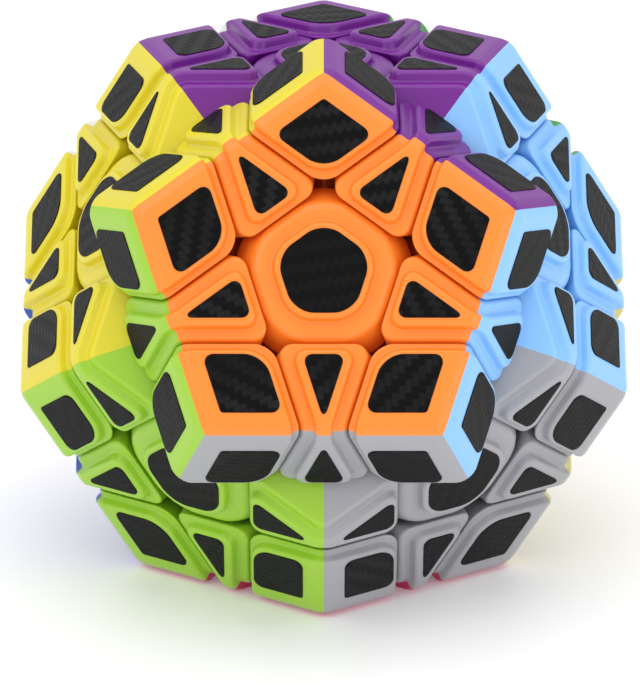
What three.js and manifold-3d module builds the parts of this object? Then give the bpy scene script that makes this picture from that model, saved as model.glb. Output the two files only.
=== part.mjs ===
// A twelve-sided twisty puzzle: each of its twelve faces turns, and one layer stands part-way round.
// Millimetres, +Z up. The origin is the middle of the face that the puzzle rests on.
//
// Every piece is a cell cut out by the turning surfaces of the layers. Each layer turns on a flat
// ring, a barrel wall under it and a cone that runs on to the core. All three are surfaces of
// revolution about the layer's own axis, so a layer clears its neighbours at every angle. The cone
// is wider than the barrel's mouth, so each piece has a foot that its neighbours hold down.

import * as THREE from 'three';
import { mergeVertices } from 'three/addons/utils/BufferGeometryUtils.js';
import Module from 'manifold-3d';

// The puzzle's outside.
const FACE_HEIGHT = 34; // centre of the puzzle to each face
const LIP_DROP = 1.4; // raised pad down to the lip around it
const LIP_HEIGHT = FACE_HEIGHT - LIP_DROP;
const GAP = 0.3; // between neighbouring pieces
const CUT_HEIGHT = 22.3; // centre of the puzzle to the flat ring that a layer turns on

// Raised pads, measured from the middle of their face.
const PAD_INNER_SIDE = 9.9; // corner's and edge's sides that look at the face's middle
const PAD_WALL_RUN = 0.3; // how far a pad's wall leans out on its way down to the lip
const CORNER_PAD_TIP = 13;
const EDGE_PAD_END_HEIGHT = 21.3; // from the puzzle's centre, along the axis of the face at that end
const EDGE_PAD_TIP = -3.4; // measured away from the far side of the face, towards the near end
const CENTRE_PAD_APOTHEM = 5.9;
const CENTRE_PAD_WALL_RUN = 0.7;
const CENTRE_PAD_ROUND = 3.6;

// Flats across the sharp upright edges between two cut surfaces.
const CORNER_BLUNT = 0.7;
const EDGE_BLUNT = 1.3;
const CENTRE_BLUNT = 1.1;

// Flats where the puzzle's own faces would meet in a sharp ridge or a sharp corner.
const RIDGE_BLUNT = 0.7;
const POINT_BLUNT = 1;

// The mechanism.
const BARREL_RADIUS = 19.5; // wall under the flat ring
const CONE_ANGLE = THREE.MathUtils.degToRad(50); // half-angle, with its tip at the puzzle's centre
const FOOT_HEIGHT = 16.5; // centre of the puzzle to the flat bottom of every foot and stem
const NECK_TOP = 29.5; // where a corner's or edge's neck is well inside its outer block
const CORE_RADIUS = 12;
const ARM_RADIUS = 3.1;
const ARM_HEIGHT = FOOT_HEIGHT - GAP;
const ARM_OVERLAP = 1; // how far the arm of a fixed centre runs into its stem
const ROUND_STEPS = 20;

// The screw and spring that hold a centre down on the core's arm.
const SPRING_SEAT = 20.5; // floor of the pocket in a centre's stem
const POCKET_RADIUS = 3.1;
const POCKET_TOP = 28.5;
const SCREW_RADIUS = 1.1;
const SCREW_CLEARANCE = 0.25;
const SCREW_TIP = 8;
const SCREW_TIP_RADIUS = 0.44;
const SCREW_TIP_LENGTH = 1;
const SCREW_HEAD_RADIUS = 2.3;
const SCREW_HEAD_SEAT = 25.6;
const SCREW_HEAD_TOP = 27.2;
const SCREW_HEAD_BEVEL = 0.5;
const DRIVER_SLOT = { length: 2.6, width: 0.6, depth: 0.9 };
const SPRING_RADIUS = 2.3; // middle of the wire
const SPRING_WIRE_RADIUS = 0.25;
const SPRING_TURNS = 4.5;
const SMALL_ROUND_STEPS = 12;

const REACH = 60; // longer than anything on the puzzle, for cutting solids
const LAYER_TURN = THREE.MathUtils.degToRad(36); // how far the front layer stands turned

const PLASTIC = { roughness: 0.28, metalness: 0 };
const CORE_PLASTIC = { roughness: 0.5, metalness: 0 };
const STEEL = { roughness: 0.3, metalness: 1 };
const CORE_COLOUR = '#2b2b2e';
const STEEL_COLOUR = '#b8bcc2';
const COLOURS = {
  purple: '#8c3ca5',
  orange: '#ff9b46',
  sky: '#8ccdff',
  green: '#46b446',
  white: '#f2f2f0',
  yellow: '#f0e13c',
  grey: '#aaaab2',
  cream: '#ebe196',
  red: '#d8262c',
  blue: '#1e5abe',
  lime: '#a5d746',
  pink: '#d2286e',
};

const wasm = await Module();
wasm.setup();

// ---------- Directions ----------

// The middle of a face on the upper ring is this far above the horizon, and on the lower ring below.
const RING_TILT = Math.atan(0.5);
const FIFTH = (2 * Math.PI) / 5;

function direction(azimuth, elevation) {
  const level = Math.cos(elevation);
  return new THREE.Vector3(
    Math.sin(azimuth) * level,
    -Math.cos(azimuth) * level,
    Math.sin(elevation),
  );
}

function faceAxes() {
  const axes = { purple: new THREE.Vector3(0, 0, 1), pink: new THREE.Vector3(0, 0, -1) };
  const upper = ['orange', 'sky', 'green', 'white', 'yellow'];
  const lower = ['grey', 'cream', 'red', 'blue', 'lime'];
  for (let i = 0; i < 5; i++) {
    axes[upper[i]] = direction(i * FIFTH, RING_TILT);
    axes[lower[i]] = direction((i + 0.5) * FIFTH, -RING_TILT);
  }
  return axes;
}

const AXES = faceAxes();
const NAMES = Object.keys(COLOURS);
// Two faces meet when their axes are 63.4 degrees apart.
const COS_MEETING = 1 / Math.sqrt(5);
const COS_HALF_MEETING = Math.sqrt((1 + COS_MEETING) / 2);
const COS_POINT = Math.sqrt((1 + 2 * COS_MEETING) / 3);

const meet = (a, b) => Math.abs(AXES[a].dot(AXES[b]) - COS_MEETING) < 0.01;
const middle = (...axes) => axes.reduce((sum, axis) => sum.add(axis), new THREE.Vector3()).normalize();
const opposite = (axis) => axis.clone().negate();

// From the middle of the face on `axis` straight towards the face on `other`, in the face's plane.
function across(axis, other) {
  return other.clone().addScaledVector(axis, -axis.dot(other)).normalize();
}

// ---------- Solids ----------

function solid(geometry, axis = new THREE.Vector3(0, 0, 1)) {
  geometry.applyQuaternion(new THREE.Quaternion().setFromUnitVectors(new THREE.Vector3(0, 0, 1), axis));
  geometry.deleteAttribute('normal');
  geometry.deleteAttribute('uv');
  const merged = mergeVertices(geometry, 1e-4);
  const corners = merged.index.array;
  const triangles = [];
  for (let i = 0; i < corners.length; i += 3) {
    const [a, b, c] = corners.slice(i, i + 3);
    // A lathe leaves empty triangles where its profile meets the axis.
    if (a !== b && b !== c && c !== a) triangles.push(a, b, c);
  }
  return new wasm.Manifold(new wasm.Mesh({
    numProp: 3,
    vertProperties: Float32Array.from(merged.attributes.position.array),
    triVerts: Uint32Array.from(triangles),
  }));
}

const common = (...solids) => solids.reduce((a, b) => a.intersect(b));

// Everything on the near side of the plane that crosses `axis` at `height`.
function below(axis, height) {
  const side = 4 * REACH;
  const box = new THREE.BoxGeometry(side, side, side);
  box.translate(0, 0, height - side / 2);
  return solid(box, axis);
}

const above = (axis, height) => below(opposite(axis), -height);

function turned(profile, axis, steps) {
  const points = profile.map(([radius, height]) => new THREE.Vector2(radius, height));
  const lathe = new THREE.LatheGeometry(points, steps);
  lathe.rotateX(Math.PI / 2);
  return solid(lathe, axis);
}

function rod(axis, radius, from, to, steps = SMALL_ROUND_STEPS) {
  return turned([[0, from], [radius, from], [radius, to], [0, to]], axis, steps);
}

// The space that a layer turns in, grown by `grow` on every side. A grown one is for cutting
// neighbours away, so its flats stay outside the true circle, and a shrunk one's stay inside.
function layerSpace(axis, grow) {
  const stretch = grow > 0 ? 1 / Math.cos(Math.PI / ROUND_STEPS) : 1;
  const tip = -grow / Math.sin(CONE_ANGLE);
  const radius = BARREL_RADIUS + grow;
  const coneTop = tip + radius / Math.tan(CONE_ANGLE);
  const ring = CUT_HEIGHT - grow;
  return turned([
    [0, tip],
    [radius * stretch, coneTop],
    [radius * stretch, ring],
    [REACH, ring],
    [REACH, REACH],
    [0, REACH],
  ], axis, ROUND_STEPS);
}

const inLayer = (axis) => layerSpace(axis, -GAP / 2);
const clearOfLayer = (axis) => layerSpace(axis, GAP / 2);

// One leaning wall of a raised pad. `outward` lies in the face's plane, and `distance` is where the
// wall's top edge crosses it, counted from the middle of the face.
function padWall(axis, outward, distance) {
  const normal = outward.clone().multiplyScalar(LIP_DROP).addScaledVector(axis, PAD_WALL_RUN).normalize();
  const topEdge = outward.clone().multiplyScalar(distance).addScaledVector(axis, FACE_HEIGHT);
  return below(normal, normal.dot(topEdge));
}

const ridge = (axis, other) => below(middle(axis, other), FACE_HEIGHT / COS_HALF_MEETING - RIDGE_BLUNT);
const innerPadWall = (axis, other) => padWall(axis, opposite(across(axis, other)), -PAD_INNER_SIDE);

// ---------- The three kinds of outer piece, each where it is first met ----------

const lipsOn = (faces) => common(...faces.map((axis) => below(axis, LIP_HEIGHT)));

// A piece of the layers on `faces`: its outer shape, and the neck and foot that those layers leave.
function overFoot(faces, outer) {
  const outward = middle(...faces);
  const whole = outer.add(below(outward, NECK_TOP)).intersect(above(outward, FOOT_HEIGHT));
  return common(whole, ...faces.map(inLayer));
}

function cornerSolid(a, b, c) {
  const faces = [a, b, c];
  const pads = [below(middle(a, b, c), FACE_HEIGHT / COS_POINT - POINT_BLUNT)];
  const blunts = [];
  for (const axis of faces) {
    const [left, right] = faces.filter((other) => other !== axis);
    const tip = middle(across(axis, left), across(axis, right));
    pads.push(below(axis, FACE_HEIGHT), innerPadWall(axis, left), innerPadWall(axis, right));
    pads.push(padWall(axis, opposite(tip), -CORNER_PAD_TIP), ridge(left, right));
    blunts.push(above(middle(left, right), CUT_HEIGHT / COS_HALF_MEETING + CORNER_BLUNT));
  }
  return overFoot(faces, common(lipsOn(faces).add(common(...pads)), ...blunts));
}

// An edge lies on faces a and b, between the corners that also touch faces c and d.
function edgeSolid(a, b, c, d) {
  const faces = [a, b];
  const ends = [c, d];
  const pads = [ridge(a, b), ...ends.map((end) => below(end, EDGE_PAD_END_HEIGHT))];
  const blunts = [];
  for (const axis of faces) {
    const other = axis === a ? b : a;
    pads.push(below(axis, FACE_HEIGHT), innerPadWall(axis, other));
    for (const end of ends) {
      const tip = across(axis, end).sub(across(axis, other)).normalize();
      pads.push(padWall(axis, tip, EDGE_PAD_TIP));
      blunts.push(below(end.clone().sub(other).normalize(), -EDGE_BLUNT));
    }
  }
  const edge = overFoot(faces, common(lipsOn(faces).add(common(...pads)), ...blunts));
  const length = common(...ends.map((end) => below(end, CUT_HEIGHT)));
  return ends.reduce((left, end) => left.subtract(clearOfLayer(end)), edge.intersect(length));
}

function pentagon(apothem, round) {
  const radius = (apothem - round) / Math.cos(FIFTH / 2);
  const outline = new THREE.Shape();
  for (let i = 0; i < 5; i++) {
    const angle = i * FIFTH + FIFTH / 2;
    const x = radius * Math.cos(angle);
    const y = radius * Math.sin(angle);
    outline.absarc(x, y, round, angle - FIFTH / 2, angle + FIFTH / 2);
  }
  return outline;
}

// The pad on a centre, with its flats facing the neighbours of the top face.
function centrePad() {
  const pad = new THREE.ExtrudeGeometry(pentagon(CENTRE_PAD_APOTHEM, CENTRE_PAD_ROUND), {
    depth: 1,
    bevelThickness: LIP_DROP,
    bevelSize: CENTRE_PAD_WALL_RUN,
    bevelSegments: 1,
    curveSegments: 2,
  });
  pad.rotateZ(-Math.PI / 2);
  pad.translate(0, 0, FACE_HEIGHT - LIP_DROP - 1);
  return solid(pad);
}

// A centre on the top face: a flange that holds the edges' feet, on a stem down to the core.
function centreSolid(axis, neighbours) {
  let centre = common(below(axis, LIP_HEIGHT), above(axis, FOOT_HEIGHT)).add(centrePad());
  for (let i = 0; i < neighbours.length; i++) {
    const next = neighbours[(i + 1) % neighbours.length];
    const corner = middle(neighbours[i], next);
    centre = centre.intersect(below(corner, CUT_HEIGHT / COS_HALF_MEETING - CENTRE_BLUNT));
    centre = centre.subtract(clearOfLayer(neighbours[i]));
  }
  return centre;
}

function hollowCentre(centre, axis) {
  const bore = rod(axis, SCREW_RADIUS + SCREW_CLEARANCE, 0, POCKET_TOP);
  const pocket = rod(axis, POCKET_RADIUS, SPRING_SEAT, POCKET_TOP);
  return centre.subtract(bore).subtract(pocket);
}

// ---------- Inside ----------

class Coil extends THREE.Curve {
  getPoint(t) {
    const from = SPRING_SEAT + GAP + SPRING_WIRE_RADIUS;
    const to = SCREW_HEAD_SEAT - GAP - SPRING_WIRE_RADIUS;
    const angle = t * SPRING_TURNS * 2 * Math.PI;
    return new THREE.Vector3(
      SPRING_RADIUS * Math.cos(angle),
      SPRING_RADIUS * Math.sin(angle),
      THREE.MathUtils.lerp(from, to, t),
    );
  }
}

function springSolid() {
  const wire = new THREE.Shape().absarc(0, 0, SPRING_WIRE_RADIUS, 0, 2 * Math.PI);
  return solid(new THREE.ExtrudeGeometry(wire, {
    extrudePath: new Coil(),
    steps: Math.round(SPRING_TURNS * 8),
    curveSegments: 2,
  }));
}

function screwSolid() {
  const up = new THREE.Vector3(0, 0, 1);
  let screw = turned([
    [0, SCREW_TIP],
    [SCREW_TIP_RADIUS, SCREW_TIP],
    [SCREW_RADIUS, SCREW_TIP + SCREW_TIP_LENGTH],
    [SCREW_RADIUS, SCREW_HEAD_SEAT],
    [SCREW_HEAD_RADIUS, SCREW_HEAD_SEAT],
    [SCREW_HEAD_RADIUS, SCREW_HEAD_TOP - SCREW_HEAD_BEVEL],
    [SCREW_HEAD_RADIUS - SCREW_HEAD_BEVEL, SCREW_HEAD_TOP],
    [0, SCREW_HEAD_TOP],
  ], up, SMALL_ROUND_STEPS);
  for (const turn of [0, Math.PI / 2]) {
    const slot = new THREE.BoxGeometry(DRIVER_SLOT.length, DRIVER_SLOT.width, 2 * DRIVER_SLOT.depth);
    slot.rotateZ(turn);
    slot.translate(0, 0, SCREW_HEAD_TOP);
    screw = screw.subtract(solid(slot));
  }
  return screw;
}

// ---------- The puzzle ----------

function meshOf(name, shape, colour, finish = PLASTIC) {
  const { numProp, vertProperties, triVerts } = shape.getMesh();
  if (numProp !== 3) throw new Error(`${name} has more than a place at each point`);
  const geometry = new THREE.BufferGeometry();
  geometry.setAttribute('position', new THREE.BufferAttribute(Float32Array.from(vertProperties), 3));
  geometry.setIndex(new THREE.BufferAttribute(Uint32Array.from(triVerts), 1));
  const mesh = new THREE.Mesh(geometry, new THREE.MeshStandardMaterial({ color: colour, ...finish }));
  mesh.name = name;
  return mesh;
}

// The turn that takes the top face to `axis` and its front neighbour to `other`.
function turnTo(axis, other) {
  const frame = (first, second) => {
    const side = first.clone().cross(second).normalize();
    return new THREE.Matrix4().makeBasis(first, side.clone().cross(first), side);
  };
  const turn = frame(axis, other).multiply(frame(AXES.purple, AXES.orange).transpose());
  return new THREE.Quaternion().setFromRotationMatrix(turn);
}

const neighboursOf = (name) => NAMES.filter((other) => meet(name, other));

function cornerNames() {
  const corners = [];
  for (const a of NAMES) {
    for (const b of neighboursOf(a)) {
      for (const c of neighboursOf(a)) {
        const ordered = NAMES.indexOf(a) < NAMES.indexOf(b) && NAMES.indexOf(a) < NAMES.indexOf(c);
        const sameHand = AXES[a].clone().cross(AXES[b]).dot(AXES[c]) > 0;
        if (ordered && sameHand && meet(b, c)) corners.push([a, b, c]);
      }
    }
  }
  return corners;
}

function edgeNames() {
  const edges = [];
  for (const a of NAMES) {
    for (const b of neighboursOf(a)) if (NAMES.indexOf(a) < NAMES.indexOf(b)) edges.push([a, b]);
  }
  return edges;
}

// These three layers share no piece, so each can have a turning axis of its own.
const TURNING = { orange: -LAYER_TURN, green: 0, blue: 0 };

const puzzle = new THREE.Group();
puzzle.position.z = FACE_HEIGHT;
const layers = {};
for (const [name, angle] of Object.entries(TURNING)) {
  layers[name] = new THREE.Group();
  layers[name].quaternion.setFromAxisAngle(AXES[name], angle);
  puzzle.add(layers[name]);
}

// Puts a piece on its faces, in the turning layer that it belongs to or else in the fixed rest.
function place(mesh, names, other) {
  mesh.quaternion.copy(turnTo(AXES[names[0]], AXES[other]));
  const layer = names.find((name) => name in layers);
  (layer ? layers[layer] : puzzle).add(mesh);
}

const { purple, orange, sky, yellow } = AXES;
const around = ['orange', 'sky', 'green', 'white', 'yellow'].map((name) => AXES[name]);

const corner = cornerSolid(purple, orange, sky);
for (const names of cornerNames()) {
  place(meshOf(`corner_${names.join('_')}`, corner, COLOURS[names[0]]), names, names[1]);
}

const edge = edgeSolid(purple, orange, sky, yellow);
for (const names of edgeNames()) {
  place(meshOf(`edge_${names.join('_')}`, edge, COLOURS[names[0]]), names, names[1]);
}

const centre = centreSolid(purple, around);
const turningCentre = hollowCentre(centre, purple);
const screw = screwSolid();
const spring = springSolid();
for (const name of Object.keys(TURNING)) {
  const other = neighboursOf(name)[0];
  place(meshOf(`centre_${name}`, turningCentre, COLOURS[name]), [name], other);
  for (const [kind, shape] of [['screw', screw], ['spring', spring]]) {
    const piece = meshOf(`${kind}_${name}`, shape, STEEL_COLOUR, STEEL);
    piece.quaternion.copy(turnTo(AXES[name], AXES[other]));
    puzzle.add(piece);
  }
}

// The core, with the nine centres that stay put on their arms.
function coreSolid() {
  let core = solid(new THREE.IcosahedronGeometry(CORE_RADIUS, 1));
  for (const name of NAMES) {
    if (name in TURNING) {
      core = core.add(rod(AXES[name], ARM_RADIUS, 0, ARM_HEIGHT));
      continue;
    }
    const facing = turnTo(AXES[name], AXES[neighboursOf(name)[0]]);
    const turn = new THREE.Matrix4().makeRotationFromQuaternion(facing);
    core = core.add(rod(AXES[name], ARM_RADIUS, 0, FOOT_HEIGHT + ARM_OVERLAP));
    core = core.add(centre.transform(turn.elements));
  }
  for (const name of Object.keys(TURNING)) {
    core = core.subtract(rod(AXES[name], SCREW_RADIUS + SCREW_CLEARANCE, SCREW_TIP - GAP, REACH));
  }
  return core;
}

puzzle.add(meshOf('core_with_fixed_centres', coreSolid(), CORE_COLOUR, CORE_PLASTIC));

export default puzzle;
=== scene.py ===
"""A twelve-sided twisty puzzle, built the way the real one is: coloured shells on hooked feet, dark
woven-look films on raised pads, and centre caps on sprung stems that are screwed to a core.

Every piece is shaped in millimetres round the puzzle's middle, on the top face or beside it. Then it
is turned to its own faces and scaled to metres, so each finished object sits unturned at the origin.
"""

import math

import bmesh
import bpy
from mathutils import Matrix, Vector


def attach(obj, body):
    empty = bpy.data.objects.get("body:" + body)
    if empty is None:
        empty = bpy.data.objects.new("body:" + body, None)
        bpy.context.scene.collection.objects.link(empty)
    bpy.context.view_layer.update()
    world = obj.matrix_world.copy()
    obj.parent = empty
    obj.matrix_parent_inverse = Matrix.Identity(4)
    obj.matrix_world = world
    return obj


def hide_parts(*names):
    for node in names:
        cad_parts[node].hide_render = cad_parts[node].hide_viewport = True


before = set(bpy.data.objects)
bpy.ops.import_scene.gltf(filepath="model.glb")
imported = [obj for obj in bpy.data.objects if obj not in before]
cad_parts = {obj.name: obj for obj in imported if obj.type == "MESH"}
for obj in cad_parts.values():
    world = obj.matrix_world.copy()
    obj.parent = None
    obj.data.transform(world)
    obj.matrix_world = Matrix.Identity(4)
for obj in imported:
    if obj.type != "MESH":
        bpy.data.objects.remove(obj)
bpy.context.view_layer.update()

MM = 0.001

# ---------- Sizes, in millimetres ----------

FACE_HEIGHT = 34.0  # puzzle's middle to the top of each face's films
FILM_THICKNESS = 0.12
PAD_HEIGHT = FACE_HEIGHT - FILM_THICKNESS
LIP_HEIGHT = 32.6
PAD_RISE = PAD_HEIGHT - LIP_HEIGHT
CUT_HEIGHT = 22.3  # puzzle's middle to the flat ring that a layer turns on
GAP = 0.3
OUTER_CUT = CUT_HEIGHT + GAP / 2
INNER_CUT = CUT_HEIGHT - GAP / 2

# Raised pads: where their top edges cross a face, from the middle of that face.
PAD_INNER_SIDE = 9.85
WALL_RUN = 0.2
EDGE_PAD_SIDE = 6.85
EDGE_WALL_RUN = 0.25
CENTRE_PAD_SIDE = 5.9
CENTRE_WALL_RUN = 0.2

# Two neighbouring faces turn this far away from each other.
COS_MEETING = 1 / math.sqrt(5)
SIN_MEETING = math.sqrt(1 - COS_MEETING**2)

# Roundings.
RIDGE_RADIUS = 3.3  # on the pads
LIP_RIDGE_RADIUS = RIDGE_RADIUS - PAD_RISE
RIDGE_STEPS = 6
CORNER_TIP_RADIUS = 3.8
EDGE_TIP_RADIUS = 1.4
CENTRE_TIP_RADIUS = 7.0
CORNER_PAD_ROUND = 3.9
EDGE_PAD_ROUND = 1.5
TIP_STEPS = 8
PAD_RIM = 0.42
PAD_FOOT = 0.3
LIP_RIM = 0.4
CENTRE_PAD_RIM = 0.4
CENTRE_PAD_FOOT = 0.35
CENTRE_LIP_RIM = 0.9
RIM_STEPS = 4
CENTRE_SLOPE = math.radians(46)  # a centre's lip falls away at this angle into the hole at each corner
CENTRE_SLOPE_FROM = 9.1  # from the middle of the face
SHARP = math.radians(32)  # an edge that turns more than this gets its rim rounded
FLAT = math.radians(0.5)  # an edge that turns less than this is only a scored line
LOOKS_OUT = 0.3  # cosine past which a face of a block looks out of the puzzle
SOFT_STEPS = 2  # for roundings too small to show their shape

# Films: their straight sides, and the rounding of their corners from the nearest to the farthest.
CORNER_FILM = {"inner": 10.38, "outer": 17.79, "rounds": (3.5, 1.1, 1.1, 0.5)}
EDGE_FILM = {"inner": 10.39, "side": 5.82, "rounds": (1.0, 1.0, 0.5)}
CENTRE_FILM = {"side": 5.19, "rounds": (3.5,) * 5}
FILM_RIM = 0.05
WEAVE = "weave"  # the map that lays the weave on a film
THREAD = 0.85  # width of one thread of the weave

# Feet and stems. A profile is a list of radii and heights, from the bore's lower end outwards.
BARREL_RADIUS = 19.5
CONE_ANGLE = math.radians(50)
CONE_FANS = tuple(math.radians(degrees) for degrees in (-50, -25, 0, 25, 50))  # flats round a foot
FOOT_CLEARANCE = 0.4
FOOT_BOTTOM = 16.6
NECK_TOP = 29.3
FOOT_ROUND = 0.45
CAP_BOTTOM = 28.0
STEM_PROFILE = (
    (1.4, 16.6),
    (3.55, 16.6),
    (5.2, 24.4),
    (8.9, 27.1),
    (8.9, 27.9),
    (3.1, 27.9),
    (3.1, 20.5),
    (1.4, 20.5),
)
STEM_STEPS = 48
STEM_ROUND = 0.18

# The core, screws and springs.
CORE_RADIUS = 12.0
CORE_DETAIL = 4
CORE_BORE = 1.5
CORE_BORE_DEPTH = 4.3
ARM_PROFILE = (
    (1.4, 11.2),
    (5.2, 10.4),
    (4.1, 12.2),
    (3.2, 13.4),
    (3.0, 15.9),
    (2.8, 16.15),
    (1.4, 16.15),
)
ARM_STEPS = 40
ARM_ROUND = 0.12
SCREW_TIP = 8.0
SCREW_TIP_RADIUS = 0.34
SCREW_RADIUS = 1.1
SCREW_ROOT = 0.85
THREAD_FROM, THREAD_TO, THREAD_PITCH = 8.9, 19.7, 0.9
HEAD_RADIUS = 2.3
HEAD_SEAT, HEAD_TOP = 25.6, 27.2
HEAD_EDGE = 0.5
RECESS = {"arm": 1.3, "half_width": 0.3, "depth": 0.9, "draft": 0.03}
SCREW_STEPS = 32
SPRING_RADIUS, SPRING_WIRE, SPRING_WIRE_SIDES = 2.3, 0.25, 8
SPRING_FROM, SPRING_TO = 21.1, 25.0
SPRING_TURNS = 4.5
SPRING_STEPS_PER_TURN = 28

LAYER_TURN = math.radians(36)  # how far the front layer stands turned
REACH = 60.0  # longer than anything on the puzzle, for cutting shapes
TOUCH = 1e-4  # two points closer than this are one point
NEAR = 0.01  # a point closer to a plane than this lies on it
SAME_WAY = 0.9999  # cosine past which two directions count as one
MOST_SIDES = 4  # a face with more sides than this is cut into triangles
FLAT_FACE_WEIGHT = 100  # how strongly shading follows the larger faces, from 1 to 100
UP = Vector((0, 0, 1))
# From millimetres round the puzzle's middle to metres above the floor.
TO_METRES = Matrix.Translation((0, 0, FACE_HEIGHT * MM)) @ Matrix.Scale(MM, 4)

# ---------- Directions ----------

FIFTH = math.tau / 5
BALL_TURN = -FIFTH / 4  # brings a new ball's twelve poles under the faces
RING_TILT = math.atan(0.5)  # how far the upper faces' axes rise
UPPER = ("orange", "sky", "green", "white", "yellow")
LOWER = ("grey", "cream", "red", "blue", "lime")
NAMES = ("purple", *UPPER, *LOWER, "pink")


def direction(azimuth, elevation):
    """The way that turns `azimuth` from the front and rises by `elevation`."""
    level = math.cos(elevation)
    return Vector((math.sin(azimuth) * level, -math.cos(azimuth) * level, math.sin(elevation)))


def face_axes():
    axes = {"purple": UP.copy(), "pink": -UP}
    for i, (upper, lower) in enumerate(zip(UPPER, LOWER)):
        axes[upper] = direction(i * FIFTH, RING_TILT)
        axes[lower] = direction((i + 0.5) * FIFTH, -RING_TILT)
    return axes


AXES = face_axes()
PURPLE, ORANGE, SKY, YELLOW = (AXES[name] for name in ("purple", "orange", "sky", "yellow"))


def middle(*axes):
    """The direction halfway between the axes."""
    return sum(axes, Vector()).normalized()


def across(axis, other):
    """From the middle of the face on `axis` straight towards the face on `other`, in its plane."""
    return (other - axis * axis.dot(other)).normalized()


# ---------- Shaping ----------


def edges_of(parts):
    return [part for part in parts if isinstance(part, bmesh.types.BMEdge)]


def everything(bm):
    return bm.verts[:] + bm.edges[:] + bm.faces[:]


def keep_below(bm, normal, height):
    """Cut away what lies past the plane that crosses `normal` at `height`, and close the cut."""
    cut = bmesh.ops.bisect_plane(
        bm,
        geom=everything(bm),
        dist=TOUCH,
        plane_co=normal * height,
        plane_no=normal,
        clear_outer=True,
    )
    rim = edges_of(cut["geom_cut"])
    if rim:
        bmesh.ops.edgeloop_fill(bm, edges=rim)


def block(planes):
    """The solid that lies below every one of the planes."""
    bm = bmesh.new()
    bmesh.ops.create_cube(bm, size=2 * REACH)
    for normal, height in planes:
        keep_below(bm, normal, height)
    return bm


def lies_on(point, plane):
    normal, height = plane
    return abs(point.dot(normal) - height) < NEAR


def edges_between(bm, first, second):
    """The edges that two planes share."""
    return [
        edge
        for edge in bm.edges
        if all(lies_on(vert.co, first) and lies_on(vert.co, second) for vert in edge.verts)
    ]


def bevel(bm, parts, offset, steps, affect="EDGES"):
    """Round the given edges or corners, and hand back the new faces."""
    return bmesh.ops.bevel(
        bm,
        geom=parts,
        offset=offset,
        offset_type="OFFSET",
        affect=affect,
        segments=steps,
        profile=0.5,
        material=-1,
    )["faces"]


def round_to(bm, edges, radius, steps=TIP_STEPS):
    """Round each edge to a radius, whatever the angle between its two faces."""
    if edges:
        turn = edges[0].calc_face_angle()
        bevel(bm, edges, radius * math.tan(turn / 2), steps)


def faces_along(bm, axis, height):
    """The faces that look along `axis` and cross it at `height`."""
    return [
        face
        for face in bm.faces
        if face.normal.dot(axis) > SAME_WAY and lies_on(face.calc_center_median(), (axis, height))
    ]


def score(bm, faces, plane):
    """Score a line on the faces where the plane crosses them."""
    normal, height = plane
    parts = dict.fromkeys(part for face in faces for part in (face, *face.edges, *face.verts))
    bmesh.ops.bisect_plane(bm, geom=list(parts), dist=TOUCH, plane_co=normal * height, plane_no=normal)


def wall_plane(axis, outward, distance, run):
    """The leaning wall of a pad whose top edge crosses the face at `distance` along `outward`."""
    normal = (outward * PAD_RISE + axis * run).normalized()
    return normal, normal.dot(outward * distance + axis * PAD_HEIGHT)


def on_neighbour(distance):
    """How far up the neighbour's axis a lip reaches at `distance` from the middle of its own face."""
    return COS_MEETING * LIP_HEIGHT + SIN_MEETING * distance


def split_by_colour(bm, faces):
    """Cut along the planes halfway between the faces, and give each part its own face's colour."""
    for i, first in enumerate(faces):
        for second in faces[i + 1 :]:
            bmesh.ops.bisect_plane(
                bm,
                geom=everything(bm),
                dist=TOUCH,
                plane_co=Vector(),
                plane_no=(first - second).normalized(),
            )
    for face in bm.faces:
        centre = face.calc_center_median()
        face.material_index = max(range(len(faces)), key=lambda i: faces[i].dot(centre))


def add_shape(bm, other):
    """Put a second closed shape into the same mesh."""
    mesh = bpy.data.meshes.new("part")
    other.to_mesh(mesh)
    other.free()
    bm.from_mesh(mesh)
    bpy.data.meshes.remove(mesh)


def lathe(profile, steps, closed=True):
    """Spin a profile of (radius, height) round the upright axis."""
    bm = bmesh.new()
    verts = [bm.verts.new((radius, 0, height)) for radius, height in profile]
    pairs = list(zip(verts, verts[1:]))
    if closed:
        pairs.append((verts[-1], verts[0]))
    edges = [bm.edges.new(pair) for pair in pairs]
    bmesh.ops.spin(
        bm,
        geom=verts + edges,
        cent=(0, 0, 0),
        axis=UP,
        angle=math.tau,
        steps=steps,
        use_merge=True,
    )
    bmesh.ops.remove_doubles(bm, verts=bm.verts, dist=TOUCH)
    if not closed:
        bmesh.ops.holes_fill(bm, edges=bm.edges, sides=steps + 1)
    bmesh.ops.recalc_face_normals(bm, faces=bm.faces)
    return bm


def sharp_edges(bm):
    return [edge for edge in bm.edges if edge.calc_face_angle(0) > SHARP]


def soften(bm, offset):
    """Round every sharp edge a little."""
    bevel(bm, sharp_edges(bm), offset, SOFT_STEPS)


# ---------- Shells ----------


def rounded_rims(bm, foot, rim, lip, axes):
    """Round the pads' feet, then their top rims, then the lips and every other sharp edge."""
    bevel(bm, [edge for edge in sharp_edges(bm) if edge.calc_face_angle_signed() < 0], foot, RIM_STEPS)
    outer = [edge for edge in sharp_edges(bm) if edge.is_convex]
    level = (PAD_HEIGHT + LIP_HEIGHT) / 2
    on_pad = [
        edge
        for edge in outer
        if all(max(vert.co.dot(axis) for axis in axes) > level for vert in edge.verts)
    ]
    bevel(bm, on_pad, rim, RIM_STEPS)
    bevel(bm, [edge for edge in sharp_edges(bm) if edge.is_convex], lip, RIM_STEPS)


def ridge_edges(bm, first, second):
    """The edge between the lips of two faces."""
    return edges_between(bm, (first, LIP_HEIGHT), (second, LIP_HEIGHT))


def outer_faces(bm, axes):
    """The faces that look out of the puzzle, the rounded ridges between them included."""
    outward = middle(*axes)
    return [face for face in bm.faces if face.normal.dot(outward) > LOOKS_OUT]


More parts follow.
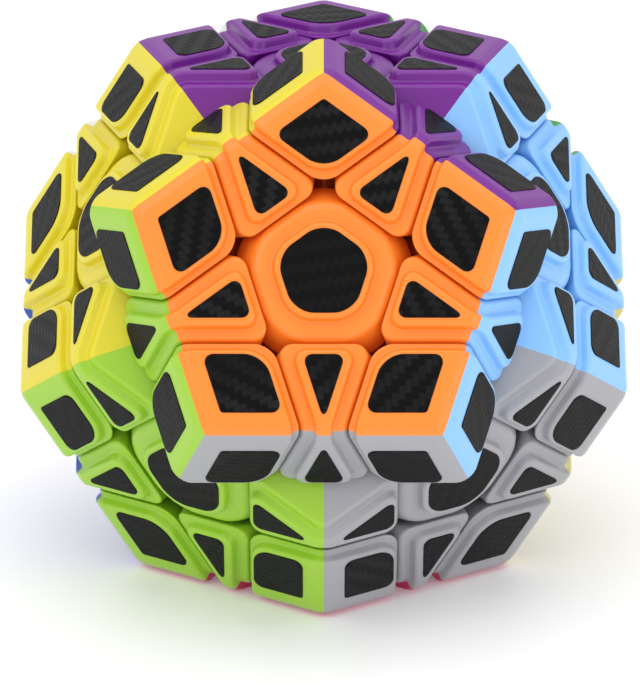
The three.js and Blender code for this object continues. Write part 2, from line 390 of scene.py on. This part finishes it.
def raise_pads(bm, axes, limits, run):
    """Raise what lies below the limits off the lip on leaning walls, and clear the scored lines."""
    for limit in limits:
        score(bm, outer_faces(bm, axes), limit)
    pads = [
        face
        for face in outer_faces(bm, axes)
        if all(face.calc_center_median().dot(normal) < height for normal, height in limits)
    ]
    bmesh.ops.inset_region(
        bm,
        faces=pads,
        thickness=run,
        depth=PAD_RISE,
        use_boundary=True,
        use_even_offset=True,
    )
    flat = [edge for edge in bm.edges if edge.calc_face_angle(1) < FLAT]
    bmesh.ops.dissolve_edges(bm, edges=flat, use_verts=True)


def lip_block(faces, ends=()):
    """What a layer's cuts leave of a corner or edge, out to the lips of its faces."""
    planes = [(axis, LIP_HEIGHT) for axis in faces] + [(-axis, -OUTER_CUT) for axis in faces]
    return block(planes + [(end, INNER_CUT) for end in ends])


def corner_shells(a, b, c):
    """The three shells of a corner, on faces a, b and c."""
    faces = (a, b, c)
    pairs = ((a, b), (b, c), (c, a))
    bm = lip_block(faces)
    ridges = [edge for one, two in pairs for edge in ridge_edges(bm, one, two)]
    round_to(bm, ridges, LIP_RIDGE_RADIUS, RIDGE_STEPS)
    inner = on_neighbour(PAD_INNER_SIDE - WALL_RUN)
    raise_pads(bm, faces, [(-axis, -inner) for axis in faces], WALL_RUN)
    for one, two in pairs:
        round_to(bm, edges_between(bm, (one, OUTER_CUT), (two, OUTER_CUT)), CORNER_TIP_RADIUS)
    for axis in faces:
        inward = [-across(axis, other) for other in faces if other is not axis]
        walls = [wall_plane(axis, side, -PAD_INNER_SIDE, WALL_RUN) for side in inward]
        round_to(bm, edges_between(bm, *walls), CORNER_PAD_ROUND)
    rounded_rims(bm, PAD_FOOT, PAD_RIM, LIP_RIM, faces)
    return bm


def edge_shells(a, b, c, d):
    """The shells on faces a and b, between the corners that also touch faces c and d."""
    faces = (a, b)
    ends = (c, d)
    bm = lip_block(faces, ends)
    round_to(bm, ridge_edges(bm, a, b), LIP_RIDGE_RADIUS, RIDGE_STEPS)
    inner = on_neighbour(PAD_INNER_SIDE - EDGE_WALL_RUN)
    side = on_neighbour(EDGE_PAD_SIDE + EDGE_WALL_RUN)
    limits = [(-axis, -inner) for axis in faces] + [(end, side) for end in ends]
    raise_pads(bm, faces, limits, EDGE_WALL_RUN)
    for axis, other in ((a, b), (b, a)):
        inner_wall = wall_plane(axis, -across(axis, other), -PAD_INNER_SIDE, EDGE_WALL_RUN)
        for end in ends:
            round_to(bm, edges_between(bm, (axis, OUTER_CUT), (end, INNER_CUT)), EDGE_TIP_RADIUS)
            side_wall = wall_plane(axis, across(axis, end), EDGE_PAD_SIDE, EDGE_WALL_RUN)
            round_to(bm, edges_between(bm, inner_wall, side_wall), EDGE_PAD_ROUND)
    for end in ends:  # a notch clears the barrel of the layer beyond each end
        keep_below(bm, -across(end, middle(a, b)), -BARREL_RADIUS - GAP)
    rounded_rims(bm, PAD_FOOT, PAD_RIM, LIP_RIM, faces)
    return bm


def centre_cap(axis, neighbours):
    """The cover of a centre: a rounded lip that slopes off at its five corners, and a raised pad."""
    sides = [(other, INNER_CUT) for other in neighbours]
    bm = block([(axis, LIP_HEIGHT), (-axis, -CAP_BOTTOM), *sides])
    pairs = [(one, neighbours[(i + 1) % len(neighbours)]) for i, one in enumerate(neighbours)]
    for one, two in pairs:
        round_to(bm, edges_between(bm, (one, INNER_CUT), (two, INNER_CUT)), CENTRE_TIP_RADIUS)
    lip = faces_along(bm, axis, LIP_HEIGHT)
    lip_side = (INNER_CUT - COS_MEETING * LIP_HEIGHT) / SIN_MEETING
    lip_width = lip_side - CENTRE_PAD_SIDE - CENTRE_WALL_RUN
    bmesh.ops.inset_region(bm, faces=lip, thickness=lip_width, use_even_offset=True)
    bmesh.ops.inset_region(
        bm,
        faces=lip,
        thickness=CENTRE_WALL_RUN,
        depth=PAD_RISE,
        use_even_offset=True,
    )
    for one, two in pairs:
        corner = across(axis, middle(one, two))
        slope = axis * math.cos(CENTRE_SLOPE) + corner * math.sin(CENTRE_SLOPE)
        keep_below(bm, slope, slope.dot(axis * LIP_HEIGHT + corner * CENTRE_SLOPE_FROM))
    rounded_rims(bm, CENTRE_PAD_FOOT, CENTRE_PAD_RIM, CENTRE_LIP_RIM, (axis,))
    return bm


# ---------- Feet ----------


def cone_plane(axis, outward):
    """The plane that touches a layer's cone on the side that looks along `outward`."""
    return outward * math.cos(CONE_ANGLE) - axis * math.sin(CONE_ANGLE)


def foot(faces, ends=()):
    """The neck and foot under the shells, inside its faces' barrels and clear of the ends' cones."""
    outward = middle(*faces)
    planes = [(outward, NECK_TOP), (-outward, -FOOT_BOTTOM)]
    for axis in faces:
        for fan in CONE_FANS:
            side = Matrix.Rotation(fan, 3, axis) @ across(axis, outward)
            planes.append((cone_plane(axis, side), -FOOT_CLEARANCE))
            planes.append((side, BARREL_RADIUS - FOOT_CLEARANCE))
    for end in ends:
        planes.append((-cone_plane(end, across(end, outward)), -FOOT_CLEARANCE))
    bm = block(planes)
    soften(bm, FOOT_ROUND)
    return bm


# ---------- Films ----------


def film(axis, lines, rounds):
    """A thin plate on the face along `axis`, inside the lines, with its corners rounded."""
    bm = block([(axis, FACE_HEIGHT), (-axis, -PAD_HEIGHT), *lines])
    level = (axis, 0)
    upright = [edge for edge in bm.edges if not lies_on(edge.verts[0].co - edge.verts[1].co, level)]
    upright.sort(key=lambda edge: across(axis, edge.verts[0].co).dot(edge.verts[0].co))
    for edge, radius in zip(upright, rounds):
        round_to(bm, [edge], radius)
    rim = [edge for face in faces_along(bm, axis, FACE_HEIGHT) for edge in face.edges]
    bevel(bm, rim, FILM_RIM, SOFT_STEPS)
    lay_weave(bm, axis)
    return bm


def lay_weave(bm, axis):
    """Lay the weave's coordinates flat on the film, in millimetres."""
    side = across(axis, ORANGE)
    other = axis.cross(side)
    layer = bm.loops.layers.uv.new(WEAVE)
    for face in bm.faces:
        for loop in face.loops:
            loop[layer].uv = (loop.vert.co.dot(other), loop.vert.co.dot(side))


def corner_film(axis, left, right):
    sides = (across(axis, left), across(axis, right))
    lines = [(-side, -CORNER_FILM["inner"]) for side in sides]
    lines += [(side, CORNER_FILM["outer"]) for side in sides]
    return film(axis, lines, CORNER_FILM["rounds"])


def edge_film(axis, other, ends):
    lines = [(-across(axis, other), -EDGE_FILM["inner"])]
    lines += [(across(axis, end), EDGE_FILM["side"]) for end in ends]
    return film(axis, lines, EDGE_FILM["rounds"])


def centre_film(axis, neighbours):
    lines = [(across(axis, other), CENTRE_FILM["side"]) for other in neighbours]
    return film(axis, lines, CENTRE_FILM["rounds"])


# ---------- Inside ----------


def stem():
    """The hollow stem under a cap, with a pocket for its spring."""
    bm = lathe(STEM_PROFILE, STEM_STEPS)
    soften(bm, STEM_ROUND)
    return bm


def screw_profile():
    """Radii and heights from the tip, up the ridges of the thread and the plain shaft, over the head."""
    profile = [(SCREW_TIP_RADIUS, SCREW_TIP), (SCREW_ROOT, THREAD_FROM)]
    turns = round((THREAD_TO - THREAD_FROM) / THREAD_PITCH)
    for i in range(turns):
        root = THREAD_FROM + i * THREAD_PITCH
        profile.append((SCREW_RADIUS, root + THREAD_PITCH / 2))
        profile.append((SCREW_ROOT, root + THREAD_PITCH))
    profile.append((SCREW_RADIUS, THREAD_TO + THREAD_PITCH / 2))
    profile.append((SCREW_RADIUS, HEAD_SEAT))
    profile.append((HEAD_RADIUS, HEAD_SEAT))
    profile.append((HEAD_RADIUS, HEAD_TOP - HEAD_EDGE))
    profile.append((HEAD_RADIUS - HEAD_EDGE, HEAD_TOP))
    return profile


def screw():
    """A screw with a cross recess in its head."""
    bm = lathe(screw_profile(), SCREW_STEPS, closed=False)
    x, y = Vector((1, 0, 0)), Vector((0, 1, 0))
    for side in (x, y, -x, -y):
        for distance in (RECESS["half_width"], RECESS["arm"]):
            score(bm, faces_along(bm, UP, HEAD_TOP), (side, distance))
    cross = []
    for face in faces_along(bm, UP, HEAD_TOP):
        near, far = sorted(abs(value) for value in face.calc_center_median().xy)
        if near < RECESS["half_width"] and far < RECESS["arm"]:
            cross.append(face)
    bmesh.ops.inset_region(
        bm,
        faces=cross,
        thickness=RECESS["draft"],
        depth=-RECESS["depth"],
        use_even_offset=True,
    )
    return bm


def spring():
    """A coil of round wire."""
    bm = bmesh.new()
    circle = bmesh.ops.create_circle(
        bm, cap_ends=False, radius=SPRING_WIRE, segments=SPRING_WIRE_SIDES
    )
    ring = circle["verts"]
    bmesh.ops.rotate(bm, verts=ring, matrix=Matrix.Rotation(math.pi / 2, 3, "X"))
    bmesh.ops.translate(bm, verts=ring, vec=(SPRING_RADIUS, 0, SPRING_FROM))
    steps = round(SPRING_TURNS * SPRING_STEPS_PER_TURN)
    bmesh.ops.spin(
        bm,
        geom=bm.verts[:] + bm.edges[:],
        cent=(0, 0, 0),
        axis=UP,
        dvec=(0, 0, (SPRING_TO - SPRING_FROM) / steps),
        angle=SPRING_TURNS * math.tau,
        steps=steps,
    )
    bmesh.ops.holes_fill(bm, edges=bm.edges, sides=SPRING_WIRE_SIDES)
    bmesh.ops.recalc_face_normals(bm, faces=bm.faces)
    return bm


def core():
    """A ball with a screw hole under each face, and an arm round each hole."""
    bm = bmesh.new()
    bmesh.ops.create_icosphere(bm, subdivisions=CORE_DETAIL, radius=CORE_RADIUS)
    bmesh.ops.rotate(bm, verts=bm.verts, matrix=Matrix.Rotation(BALL_TURN, 3, UP))
    for axis in AXES.values():
        top = max(bm.verts, key=lambda vert: vert.co.dot(axis))
        made = bevel(bm, [top], CORE_BORE, 1, affect="VERTICES")
        hole = max(made, key=lambda face: face.normal.dot(axis))
        bmesh.ops.inset_region(bm, faces=[hole], thickness=0.0, depth=-CORE_BORE_DEPTH)
    for axis in AXES.values():
        arm = lathe(ARM_PROFILE, ARM_STEPS)
        soften(arm, ARM_ROUND)
        bmesh.ops.rotate(arm, verts=arm.verts, matrix=UP.rotation_difference(axis).to_matrix())
        add_shape(bm, arm)
    return bm


# ---------- Shader maths ----------

PLAIN_DETAIL, FINE_DETAIL = 2.0, 3.0
MIX_FIRST, MIX_SECOND, MIX_RESULT = 6, 7, 2  # a Mix node's colour sockets


class Maths:
    """A number in a shader. Plain arithmetic on it adds the Math nodes."""

    def __init__(self, tree, socket):
        self.tree = tree
        self.socket = socket

    def make(self, operation, *values):
        node = self.tree.nodes.new("ShaderNodeMath")
        node.operation = operation
        for place, value in enumerate(values):
            feed(self.tree, node.inputs[place], value)
        return Maths(self.tree, node.outputs[0])

    def __add__(self, other):
        return self.make("ADD", self, other)

    def __sub__(self, other):
        return self.make("SUBTRACT", self, other)

    def __rsub__(self, other):
        return self.make("SUBTRACT", other, self)

    def __mul__(self, other):
        return self.make("MULTIPLY", self, other)

    def __truediv__(self, other):
        return self.make("DIVIDE", self, other)

    def __mod__(self, other):
        return self.make("FLOORED_MODULO", self, other)

    def __lt__(self, other):
        return self.make("LESS_THAN", self, other)

    def __abs__(self):
        return self.make("ABSOLUTE", self)

    __radd__ = __add__
    __rmul__ = __mul__

    def floor(self):
        return self.make("FLOOR", self)


def feed(tree, socket, value):
    """Link a socket to another node's output, or set it to a constant."""
    if isinstance(value, Maths):
        value = value.socket
    if isinstance(value, bpy.types.NodeSocket):
        tree.links.new(value, socket)
    else:
        socket.default_value = value


class Finish:
    """A material under construction, with its surface shader."""

    def __init__(self, name, **constants):
        self.material = bpy.data.materials.new(name)
        self.material.use_nodes = True
        self.tree = self.material.node_tree
        self.surface = self.tree.nodes["Principled BSDF"]
        for socket, value in constants.items():
            self.surface.inputs[socket.replace("_", " ")].default_value = value

    def node(self, kind, settings=(), **inputs):
        """Add a node: its type, its settings, and the values or links of its sockets."""
        node = self.tree.nodes.new(kind)
        for setting, value in dict(settings).items():
            setattr(node, setting, value)
        for socket, value in inputs.items():
            feed(self.tree, node.inputs[socket.replace("_", " ")], value)
        return node

    def number(self, node, output):
        return Maths(self.tree, node.outputs[output])

    def noise(self, scale, detail=PLAIN_DETAIL):
        """Noise whose grains are about 1000 / scale millimetres across."""
        where = self.node("ShaderNodeTexCoord")
        noise = self.node(
            "ShaderNodeTexNoise",
            Vector=where.outputs["Object"],
            Scale=scale,
            Detail=detail,
        )
        return self.number(noise, "Fac")

    def between(self, share, first, second):
        """A colour that runs from the first to the second as `share` goes from 0 to 1."""
        mix = self.node("ShaderNodeMix", {"data_type": "RGBA"})
        feed(self.tree, mix.inputs["Factor"], share)
        feed(self.tree, mix.inputs[MIX_FIRST], first)
        feed(self.tree, mix.inputs[MIX_SECOND], second)
        return mix.outputs[MIX_RESULT]

    def set(self, socket, value):
        feed(self.tree, self.surface.inputs[socket], value)

    def bump(self, height, distance, strength):
        bump = self.node("ShaderNodeBump", Height=height, Distance=distance, Strength=strength)
        self.set("Normal", bump.outputs["Normal"])


def linear(code):
    """A colour code such as #8c3ca5 as the red, green and blue of a shader, by the sRGB curve."""
    parts = [int(code[i : i + 2], 16) / 255 for i in (1, 3, 5)]
    return [part / 12.92 if part <= 0.04045 else ((part + 0.055) / 1.055) ** 2.4 for part in parts]


def shade(colour, by):
    return (*(min(1.0, part * by) for part in colour), 1.0)


# ---------- Finishes ----------

COLOURS = {
    "purple": "#731a8e",
    "orange": "#ff8a2c",
    "sky": "#8dc6fc",
    "green": "#3ca63c",
    "white": "#e6e6e4",
    "yellow": "#dfd02b",
    "grey": "#a3a3a8",
    "cream": "#ddd28a",
    "red": "#c82026",
    "blue": "#1a50b0",
    "lime": "#9cca34",
    "pink": "#c42464",
}
# Clouds and grains are noise scales. Where its grain or warp is strongest, a finish is rougher than its
# first roughness by its second.
PLASTIC_IOR = 1.5
PLASTIC_CLOUDS, PLASTIC_GRAIN = 90.0, 1400.0
PLASTIC_ROUGH, PLASTIC_ROUGHER = 0.26, 0.08
PLASTIC_SHADES = (0.97, 1.03)  # darkest and lightest, times the colour
PLASTIC_BUMP = {"distance": 0.02 * MM, "strength": 0.25}
CORE_CLOUDS, CORE_GRAIN = 120.0, 1800.0
CORE_ROUGH, CORE_ROUGHER = 0.42, 0.12
CORE_SHADES = ((0.018, 0.018, 0.02, 1), (0.03, 0.03, 0.032, 1))
STEEL_GRAIN = 2500.0
STEEL_ROUGH, STEEL_ROUGHER = 0.22, 0.16
STEEL_SHADES = ((0.50, 0.51, 0.53, 1), (0.66, 0.67, 0.69, 1))
FILM_IOR, FILM_GLOSS = 1.4, 0.15
FILM_CLOUDS, FILM_GRAIN = 110.0, 2600.0
FILM_ROUGH, WARP_ROUGHER = 0.36, 0.1
FILM_DARK = (0.0022, 0.0023, 0.0025, 1)
FILM_THREAD = (1.0, 1.03, 1.1)  # a light thread's colour, times its brightness
WOVEN_BRIGHTNESS, PLAIN_BRIGHTNESS = 0.0125, 0.0055
FILM_BUMP = {"distance": 0.03 * MM, "strength": 0.5}
TWILL_REPEAT = 4.0  # threads after which the pattern comes again
TWILL_OVER = 1.5  # threads 0 and 1 of each repeat lie on top
CROWN_LIGHT = 0.4  # share of a thread's light that it loses from its crown to its sides
SPECK_LIGHT = 0.4  # share of it that differs from speck to speck
CLOUD_LIGHT, CLOUD_LEVEL = 3.0, 0.9  # how strongly clouds light the weave, and how much they take off


def plastic(name, code):
    """Moulded glossy plastic: even colour with faint clouds, and a skin that is not quite flat."""
    finish = Finish(f"{name}_plastic", IOR=PLASTIC_IOR)
    dark, light = (shade(linear(code), by) for by in PLASTIC_SHADES)
    finish.set("Base Color", finish.between(finish.noise(PLASTIC_CLOUDS), dark, light))
    grain = finish.noise(PLASTIC_GRAIN, FINE_DETAIL)
    finish.set("Roughness", PLASTIC_ROUGH + PLASTIC_ROUGHER * grain)
    finish.bump(grain, **PLASTIC_BUMP)
    return finish.material


def dark_plastic():
    """Plain dark plastic for the core, less glossy than the shells."""
    finish = Finish("core_plastic", IOR=PLASTIC_IOR)
    finish.set("Base Color", finish.between(finish.noise(CORE_CLOUDS), *CORE_SHADES))
    finish.set("Roughness", CORE_ROUGH + CORE_ROUGHER * finish.noise(CORE_GRAIN, FINE_DETAIL))
    return finish.material


def steel():
    """Bright steel that is duller in its fine scratches."""
    finish = Finish("steel", Metallic=1.0)
    brushed = finish.noise(STEEL_GRAIN, FINE_DETAIL)
    finish.set("Base Color", finish.between(brushed, *STEEL_SHADES))
    finish.set("Roughness", STEEL_ROUGH + STEEL_ROUGHER * brushed)
    return finish.material


def film_finish(name, brightness):
    """Dark film printed and embossed as a two-by-two twill, with lighter threads of that brightness."""
    finish = Finish(name, IOR=FILM_IOR, Specular_IOR_Level=FILM_GLOSS)
    where = finish.node("ShaderNodeUVMap", {"uv_map": WEAVE})
    parts = finish.node("ShaderNodeSeparateXYZ", Vector=where.outputs["UV"])
    u = finish.number(parts, "X") / THREAD
    v = finish.number(parts, "Y") / THREAD
    warp_on_top = (u.floor() + v.floor()) % TWILL_REPEAT < TWILL_OVER
    across_warp = abs(u % 1.0 - 0.5)
    across_weft = abs(v % 1.0 - 0.5)
    crown = 1.0 - 2.0 * (warp_on_top * across_warp + (1.0 - warp_on_top) * across_weft)
    rounded = 1 - CROWN_LIGHT + CROWN_LIGHT * crown
    speckled = 1 - SPECK_LIGHT / 2 + SPECK_LIGHT * finish.noise(FILM_GRAIN)
    clouded = CLOUD_LIGHT * finish.noise(FILM_CLOUDS) - CLOUD_LEVEL
    lit = warp_on_top * rounded * speckled * clouded
    finish.set("Base Color", finish.between(lit, FILM_DARK, shade(FILM_THREAD, brightness)))
    finish.set("Roughness", FILM_ROUGH + WARP_ROUGHER * warp_on_top)
    finish.bump(crown, **FILM_BUMP)
    return finish.material


# ---------- Placing ----------


def meets(a, b):
    return abs(AXES[a].dot(AXES[b]) - COS_MEETING) < NEAR


def neighbours_of(name):
    return [other for other in NAMES if meets(name, other)]


def corner_names():
    """The faces of each corner, counted round it the same way."""
    corners = []
    for i, a in enumerate(NAMES):
        later = [name for name in neighbours_of(a) if NAMES.index(name) > i]
        for b in later:
            for c in later:
                if meets(b, c) and AXES[a].cross(AXES[b]).dot(AXES[c]) > 0:
                    corners.append((a, b, c))
    return corners


def edge_names():
    return [(a, b) for i, a in enumerate(NAMES) for b in NAMES[i + 1 :] if meets(a, b)]


TURNING = {"orange": -LAYER_TURN, "green": 0.0, "blue": 0.0}  # how far each jointed layer stands turned
FIXED_BODY = "core_and_fixed_pieces"


def body_and_turn(names):
    """The body that a piece rides on, and how that body's layer stands."""
    for name in names:
        if name in TURNING:
            return f"{name}_layer", Matrix.Rotation(TURNING[name], 3, AXES[name])
    return FIXED_BODY, Matrix.Identity(3)


def turn_to(axis, other):
    """The turn that takes the top face to `axis` and its front neighbour to `other`."""

    def frame_of(first, second):
        side = first.cross(second).normalized()
        return Matrix((first, side.cross(first), side)).transposed()

    return frame_of(axis, other) @ frame_of(PURPLE, ORANGE).transposed()


def puzzle_place(names, other, stays=False):
    """The body of a piece, and the place that takes it from the top face to its own, in metres."""
    body, turn = body_and_turn(() if stays else names)
    whole = turn @ turn_to(AXES[names[0]], AXES[other])
    return body, TO_METRES @ whole.to_4x4()


def make_shape(name, bm):
    """Keep a finished shape as a mesh that pieces are copied from."""
    many_sided = [face for face in bm.faces if len(face.verts) > MOST_SIDES]
    bmesh.ops.triangulate(bm, faces=many_sided)
    for face in bm.faces:
        face.smooth = True
    mesh = bpy.data.meshes.new(name)
    bm.to_mesh(mesh)
    bm.free()
    return mesh


def put(name, shape, where, materials):
    """Copy a shape to its place as a finished object."""
    body, place = where
    mesh = shape.copy()
    mesh.name = name
    mesh.transform(place)
    for material in materials:
        mesh.materials.append(material)
    piece = bpy.data.objects.new(name, mesh)
    bpy.context.scene.collection.objects.link(piece)
    even = piece.modifiers.new("even_shading", "WEIGHTED_NORMAL")
    even.weight = FLAT_FACE_WEIGHT
    even.keep_sharp = True
    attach(piece, body)
    return piece


def build_shapes():
    around = [AXES[name] for name in UPPER]
    corner = corner_shells(PURPLE, ORANGE, SKY)
    add_shape(corner, foot((PURPLE, ORANGE, SKY)))
    split_by_colour(corner, (PURPLE, ORANGE, SKY))
    edge = edge_shells(PURPLE, ORANGE, SKY, YELLOW)
    add_shape(edge, foot((PURPLE, ORANGE), (SKY, YELLOW)))
    split_by_colour(edge, (PURPLE, ORANGE))
    return {
        "corner": make_shape("corner", corner),
        "edge": make_shape("edge", edge),
        "cap": make_shape("cap", centre_cap(PURPLE, around)),
        "stem": make_shape("stem", stem()),
        "screw": make_shape("screw", screw()),
        "spring": make_shape("spring", spring()),
        "core": make_shape("core", core()),
        "corner_film": make_shape("corner_film", corner_film(PURPLE, ORANGE, SKY)),
        "edge_film": make_shape("edge_film", edge_film(PURPLE, ORANGE, (SKY, YELLOW))),
        "centre_film": make_shape("centre_film", centre_film(PURPLE, around)),
    }


def build_corners(shapes, plastics, film_material):
    for names in corner_names():
        node = "corner_" + "_".join(names)
        where = puzzle_place(names, names[1])
        piece = put(f"{node}_shells", shapes["corner"], where, [plastics[n] for n in names])
        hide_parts(node)
        for i, name in enumerate(names):
            turned = (*names[i:], *names[:i])
            where = puzzle_place(turned, turned[1])
            film_name = f"film_{name}_with_{turned[1]}_{turned[2]}"
            put(film_name, shapes["corner_film"], where, [film_material])


def build_edges(shapes, plastics, film_material):
    for names in edge_names():
        node = "edge_" + "_".join(names)
        where = puzzle_place(names, names[1])
        piece = put(f"{node}_shells", shapes["edge"], where, [plastics[n] for n in names])
        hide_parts(node)
        for turned in (names, names[::-1]):
            where = puzzle_place(turned, turned[1])
            film_name = f"film_{turned[0]}_with_{turned[1]}"
            put(film_name, shapes["edge_film"], where, [film_material])


def build_centres(shapes, plastics, metal, film_material):
    """Build all twelve centres, and hand back the caps and stems that have no CAD node of their own."""
    fixed = []
    for name in NAMES:
        other = neighbours_of(name)[0]
        where = puzzle_place((name,), other)
        still = puzzle_place((name,), other, stays=True)
        cap = put(f"cap_{name}", shapes["cap"], where, [plastics[name]])
        stem_piece = put(f"stem_{name}", shapes["stem"], where, [plastics[name]])
        put(f"film_{name}_centre", shapes["centre_film"], where, [film_material])
        screw_piece = put(f"screw_of_{name}", shapes["screw"], still, [metal])
        spring_piece = put(f"spring_of_{name}", shapes["spring"], still, [metal])
        if name in TURNING:
            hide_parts(f"centre_{name}")
            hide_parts(f"centre_{name}")
            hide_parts(f"screw_{name}")
            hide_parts(f"spring_{name}")
        else:
            fixed += [cap, stem_piece]
    return fixed


def build_puzzle():
    shapes = build_shapes()
    plastics = {name: plastic(name, code) for name, code in COLOURS.items()}
    film_material = film_finish("woven_film", WOVEN_BRIGHTNESS)
    build_corners(shapes, plastics, film_material)
    build_edges(shapes, plastics, film_material)
    fixed = build_centres(shapes, plastics, steel(), film_finish("plain_film", PLAIN_BRIGHTNESS))
    ball = put("core", shapes["core"], (FIXED_BODY, TO_METRES), [dark_plastic()])
    for piece in (ball, *fixed):
        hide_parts("core_with_fixed_centres")
    for shape in shapes.values():
        bpy.data.meshes.remove(shape)


# ---------- Studio ----------

# The camera looks a little down on the front of the puzzle, from far off and through a long lens.
CAMERA_TARGET = Vector((-0.476, 0.0, 28.536)) * MM
CAMERA_DISTANCE = 891.1 * MM
CAMERA_ELEVATION = math.radians(20.289)
CAMERA_LENS = 358.6
CAMERA_SIGHT = 100.0  # how far the camera sees, in metres
SENSOR = 36.0
FLOOR_SIZE = 12.0  # metres, wide enough to fill every view
FLOOR_FINISH = {"Roughness": 0.55, "Emission_Color": (1, 1, 1, 1), "Emission_Strength": 0.13}
FLOOR_SPECKS = 40.0
FLOOR_SHADES = ((0.93, 0.93, 0.93, 1), (0.95, 0.95, 0.95, 1))
ROOM_COLOUR, ROOM_LIGHT = (1, 1, 1, 1), 0.8

# Round lamps: where they stand, seen from the puzzle (degrees), how far off and how wide (metres), and
# their power (watts).
LAMPS = {
    "overhead": {"azimuth": 0, "elevation": 88, "distance": 1.6, "size": 2.4, "power": 12.0},
    "key": {"azimuth": -48, "elevation": 38, "distance": 1.5, "size": 1.1, "power": 3.5},
    "fill": {"azimuth": 45, "elevation": 12, "distance": 1.5, "size": 1.1, "power": 3.2},
}


def build_floor():
    bm = bmesh.new()
    bmesh.ops.create_grid(bm, x_segments=1, y_segments=1, size=FLOOR_SIZE)
    mesh = bpy.data.meshes.new("floor")
    bm.to_mesh(mesh)
    bm.free()
    finish = Finish("floor_white", **FLOOR_FINISH)
    finish.set("Base Color", finish.between(finish.noise(FLOOR_SPECKS), *FLOOR_SHADES))
    mesh.materials.append(finish.material)
    floor = bpy.data.objects.new("floor", mesh)
    bpy.context.scene.collection.objects.link(floor)


def round_lamp(name, azimuth, elevation, distance, size, power):
    data = bpy.data.lights.new(name, "AREA")
    data.shape = "DISK"
    data.size = size
    data.energy = power
    lamp = bpy.data.objects.new(name, data)
    towards = direction(math.radians(azimuth), math.radians(elevation))
    lamp.location = CAMERA_TARGET + towards * distance
    lamp.rotation_euler = towards.to_track_quat("Z", "Y").to_euler()
    bpy.context.scene.collection.objects.link(lamp)


def build_studio():
    world = bpy.data.worlds.new("studio")
    world.use_nodes = True
    background = world.node_tree.nodes["Background"]
    background.inputs["Color"].default_value = ROOM_COLOUR
    background.inputs["Strength"].default_value = ROOM_LIGHT
    bpy.context.scene.world = world
    for name, lamp in LAMPS.items():
        round_lamp(name, **lamp)
    bpy.context.scene.view_settings.view_transform = "Standard"


def build_camera():
    data = bpy.data.cameras.new("camera")
    data.lens = CAMERA_LENS
    data.sensor_width = SENSOR
    data.clip_end = CAMERA_SIGHT
    camera = bpy.data.objects.new("camera", data)
    back = direction(0.0, CAMERA_ELEVATION)
    camera.location = CAMERA_TARGET + back * CAMERA_DISTANCE
    camera.rotation_euler = back.to_track_quat("Z", "Y").to_euler()
    bpy.context.scene.collection.objects.link(camera)
    bpy.context.scene.camera = camera


build_puzzle()
build_floor()
build_studio()
build_camera()
